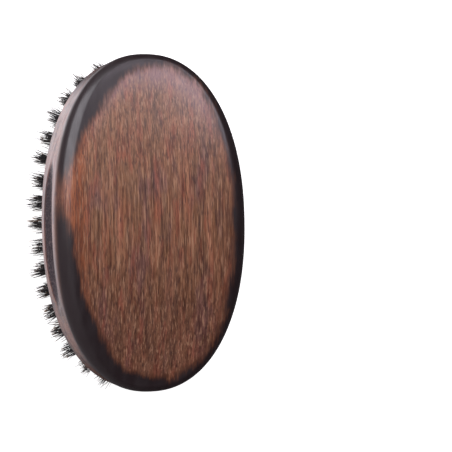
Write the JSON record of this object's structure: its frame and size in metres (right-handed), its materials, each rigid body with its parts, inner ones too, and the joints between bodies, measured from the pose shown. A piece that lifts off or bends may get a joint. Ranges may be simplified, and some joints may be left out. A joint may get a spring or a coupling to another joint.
{
  "type": "beard brush",
  "caption": "Oval palm brush with an arched lacquered hardwood block, a finger groove along each side and tufts of boar bristle set in drilled holes.",
  "frame": {"origin": "in the plane of the bristle tips, under the middle of the block", "axes": "+Z out of the wooden back, away from the bristles; +X along the block; +Y across it"},
  "size_m": [0.115, 0.0676, 0.042],
  "materials": {
    "lacquered_wood": "satin",
    "boar_bristle": "satin"
  },
  "bodies": {
    "root": {"wood_block": "lacquered_wood", "border_tuft_01": "boar_bristle", "border_tuft_02": "boar_bristle", "border_tuft_03": "boar_bristle", "border_tuft_04": "boar_bristle", "border_tuft_05": "boar_bristle", "border_tuft_06": "boar_bristle", "border_tuft_07": "boar_bristle", "border_tuft_08": "boar_bristle", "border_tuft_09": "boar_bristle", "border_tuft_10": "boar_bristle", "border_tuft_11": "boar_bristle", "border_tuft_12": "boar_bristle", "border_tuft_13": "boar_bristle", "border_tuft_14": "boar_bristle", "border_tuft_15": "boar_bristle", "border_tuft_16": "boar_bristle", "border_tuft_17": "boar_bristle", "border_tuft_18": "boar_bristle", "border_tuft_19": "boar_bristle", "border_tuft_20": "boar_bristle", "border_tuft_21": "boar_bristle", "border_tuft_22": "boar_bristle", "border_tuft_23": "boar_bristle", "border_tuft_24": "boar_bristle", "border_tuft_25": "boar_bristle", "border_tuft_26": "boar_bristle", "border_tuft_27": "boar_bristle", "border_tuft_28": "boar_bristle", "border_tuft_29": "boar_bristle", "border_tuft_30": "boar_bristle", "border_tuft_31": "boar_bristle", "border_tuft_32": "boar_bristle", "border_tuft_33": "boar_bristle", "border_tuft_34": "boar_bristle", "border_tuft_35": "boar_bristle", "border_tuft_36": "boar_bristle", "bristle_row_1": "boar_bristle", "bristle_row_2": "boar_bristle", "bristle_row_3": "boar_bristle", "bristle_row_4": "boar_bristle", "bristle_row_5": "boar_bristle", "bristle_row_6": "boar_bristle", "bristle_row_7": "boar_bristle"}
  },
  "joints": []
}
